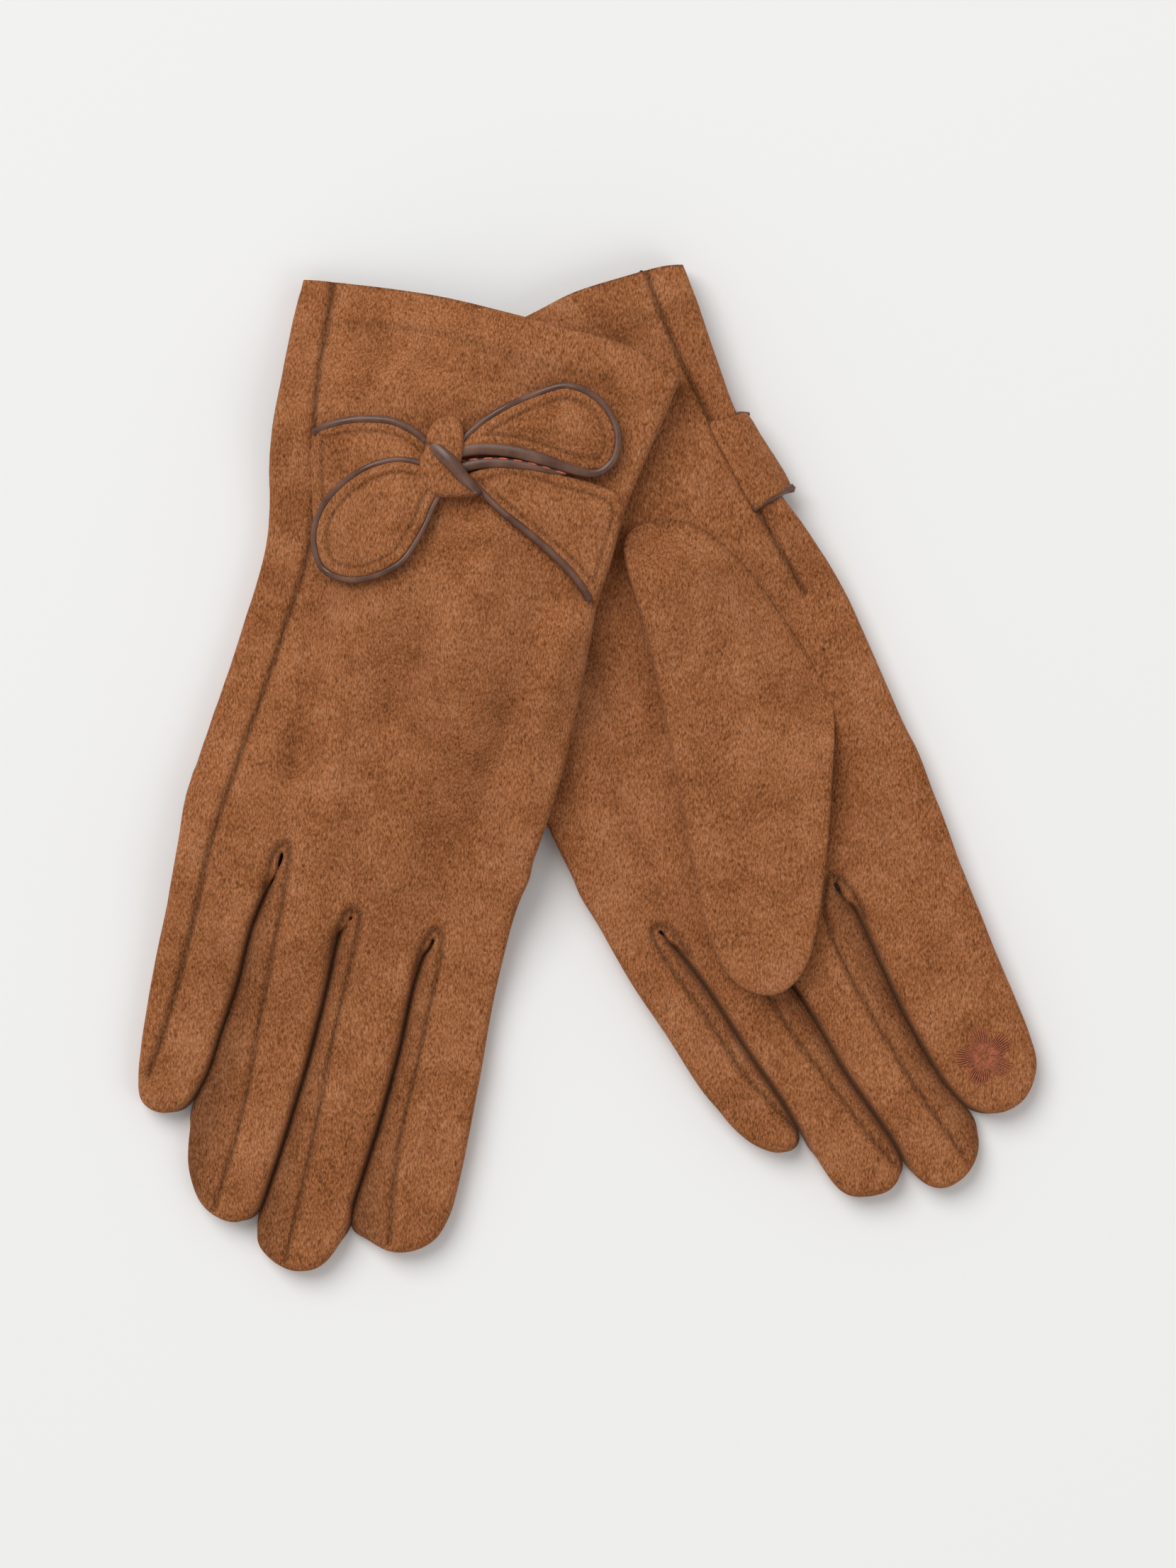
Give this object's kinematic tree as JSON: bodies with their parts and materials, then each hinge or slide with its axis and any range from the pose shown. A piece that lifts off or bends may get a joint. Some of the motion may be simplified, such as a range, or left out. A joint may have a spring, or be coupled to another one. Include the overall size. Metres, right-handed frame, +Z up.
{
  "type": "touchscreen gloves",
  "caption": "Pair of suede-look gloves laid flat, right over left, with wrist bows, piping and a stitched touch pad on the index fingertip.",
  "frame": {"origin": "centre of the pair's footprint, on the table", "axes": "+Z up, +Y towards the cuffs, +X towards the index fingers"},
  "size_m": [0.2161, 0.2422, 0.0342],
  "materials": {
    "suede": "brushed suede-look microfibre, camel brown",
    "suede_side_strip": "brushed suede-look microfibre, a little darker",
    "leather_piping": "smooth dark brown coated leather, semi-gloss",
    "touch_thread": "rust-orange conductive embroidery thread"
  },
  "bodies": {
    "left_hand": {"left_back_panel": "suede", "left_palm_panel": "suede", "left_fork_index_middle": "suede_side_strip", "left_fork_middle_ring": "suede_side_strip", "left_fork_ring_little": "suede_side_strip", "left_tail_ulnar": "suede", "left_tail_radial": "suede", "left_loop_ulnar": "suede", "left_loop_radial": "suede", "left_knot": "suede"},
    "right_hand": {"right_back_panel": "suede", "right_palm_panel": "suede", "right_fork_index_middle": "suede_side_strip", "right_fork_middle_ring": "suede_side_strip", "right_fork_ring_little": "suede_side_strip", "right_thumb": "suede", "right_tail_ulnar": "suede", "right_tail_radial": "suede", "right_loop_ulnar": "suede", "right_loop_radial": "suede", "right_knot": "suede", "right_knot_band": "leather_piping", "right_piping_loop_ulnar": "leather_piping", "right_piping_loop_radial": "leather_piping"},
    "right_index": {"right_index_back": "suede", "right_index_front": "suede", "right_index_side_ulnar": "suede_side_strip", "right_index_touch_pad": "touch_thread"},
    "right_middle": {"right_middle_back": "suede", "right_middle_front": "suede", "right_middle_side_ulnar": "suede_side_strip", "right_middle_side_radial": "suede_side_strip"},
    "right_ring": {"right_ring_back": "suede", "right_ring_front": "suede", "right_ring_side_ulnar": "suede_side_strip", "right_ring_side_radial": "suede_side_strip"},
    "right_little": {"right_little_back": "suede", "right_little_front": "suede", "right_little_side_radial": "suede_side_strip"},
    "left_index": {"left_index_back": "suede", "left_index_front": "suede", "left_index_side_ulnar": "suede_side_strip", "left_index_touch_pad": "touch_thread"},
    "left_middle": {"left_middle_back": "suede", "left_middle_front": "suede", "left_middle_side_ulnar": "suede_side_strip", "left_middle_side_radial": "suede_side_strip"},
    "left_ring": {"left_ring_back": "suede", "left_ring_front": "suede", "left_ring_side_ulnar": "suede_side_strip", "left_ring_side_radial": "suede_side_strip"},
    "left_little": {"left_little_back": "suede", "left_little_front": "suede", "left_little_side_radial": "suede_side_strip"},
    "left_thumb": {"left_thumb": "suede"}
  },
  "joints": [
    {"name": "right_glove_lift", "type": "slide", "parent": "left_hand", "child": "right_hand", "axis": [0, 0, 1], "range_m": [0, 0.12]},
    {"name": "left_index_curl", "type": "hinge", "parent": "left_hand", "child": "left_index", "pos_m": [0.08039, -0.03259, 0.0078], "axis": [-0.9106, -0.4132, 0], "range_deg": [0, 80]},
    {"name": "left_middle_curl", "type": "hinge", "parent": "left_hand", "child": "left_middle", "pos_m": [0.06434, -0.04804, 0.0078], "axis": [-0.8958, -0.4445, 0], "range_deg": [0, 80]},
    {"name": "left_ring_curl", "type": "hinge", "parent": "left_hand", "child": "left_ring", "pos_m": [0.04623, -0.05583, 0.0078], "axis": [-0.8945, -0.4472, 0], "range_deg": [0, 80]},
    {"name": "left_little_curl", "type": "hinge", "parent": "left_hand", "child": "left_little", "pos_m": [0.02094, -0.04932, 0.0078], "axis": [-0.8758, -0.4827, 0], "range_deg": [0, 80]},
    {"name": "right_index_raise", "type": "hinge", "parent": "right_hand", "child": "right_index", "pos_m": [-0.03296, -0.06355, 0.01348], "axis": [-0.9706, 0.2398, 0.0218], "range_deg": [0, 40]},
    {"name": "right_middle_raise", "type": "hinge", "parent": "right_hand", "child": "right_middle", "pos_m": [-0.05416, -0.06169, 0.01365], "axis": [-0.9623, 0.2709, 0.0247], "range_deg": [0, 40]},
    {"name": "right_ring_raise", "type": "hinge", "parent": "right_hand", "child": "right_ring", "pos_m": [-0.07359, -0.05538, 0.01422], "axis": [-0.9589, 0.2825, 0.0257], "range_deg": [0, 40]},
    {"name": "right_little_raise", "type": "hinge", "parent": "right_hand", "child": "right_little", "pos_m": [-0.08965, -0.0366, 0.01593], "axis": [-0.9653, 0.2599, 0.0237], "range_deg": [0, 40]},
    {"name": "left_thumb_open", "type": "hinge", "parent": "left_hand", "child": "left_thumb", "pos_m": [0.03272, 0.05905, 0.0121], "axis": [-0.5648, 0.8209, 0.0842], "range_deg": [0, 75]}
  ]
}
